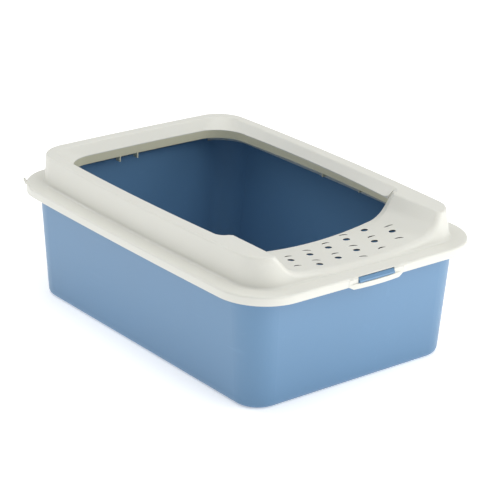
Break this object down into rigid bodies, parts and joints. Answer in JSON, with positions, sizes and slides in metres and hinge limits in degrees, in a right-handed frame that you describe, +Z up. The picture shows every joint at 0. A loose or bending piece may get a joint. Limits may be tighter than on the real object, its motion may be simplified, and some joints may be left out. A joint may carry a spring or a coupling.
{
  "type": "litter tray with raised rim frame",
  "caption": "Open rectangular litter tray: a drafted tub with a raised rim frame clipped on top, a low perforated entry step at one end and snap clips at both ends.",
  "frame": {"origin": "middle of the footprint, on the surface that the tub stands on", "axes": "+Z up, the low entry end faces -Y, +Y along the length towards the high rear wall, +X across the width"},
  "size_m": [0.41, 0.5708, 0.2105],
  "materials": {
    "tub_plastic": "satin moulded polypropylene, deep blue",
    "frame_plastic": "satin moulded polypropylene, warm off-white"
  },
  "bodies": {
    "tub": {"tub": "tub_plastic"},
    "frame": {"rim_frame": "frame_plastic"},
    "front_clip": {"front_clip": "frame_plastic"},
    "rear_clip": {"rear_clip": "frame_plastic"}
  },
  "joints": [
    {"name": "frame_lift", "type": "slide", "parent": "tub", "child": "frame", "axis": [0, 0, 1], "range_m": [0, 0.15]},
    {"name": "front_clip_flex", "type": "hinge", "parent": "frame", "child": "front_clip", "pos_m": [0, -0.2809, 0.1675], "axis": [-1, 0, 0], "range_deg": [0, 12], "stiffness_Nm_per_rad": 0.6},
    {"name": "rear_clip_flex", "type": "hinge", "parent": "frame", "child": "rear_clip", "pos_m": [0, 0.2809, 0.1675], "axis": [1, 0, 0], "range_deg": [0, 12], "stiffness_Nm_per_rad": 0.6}
  ]
}
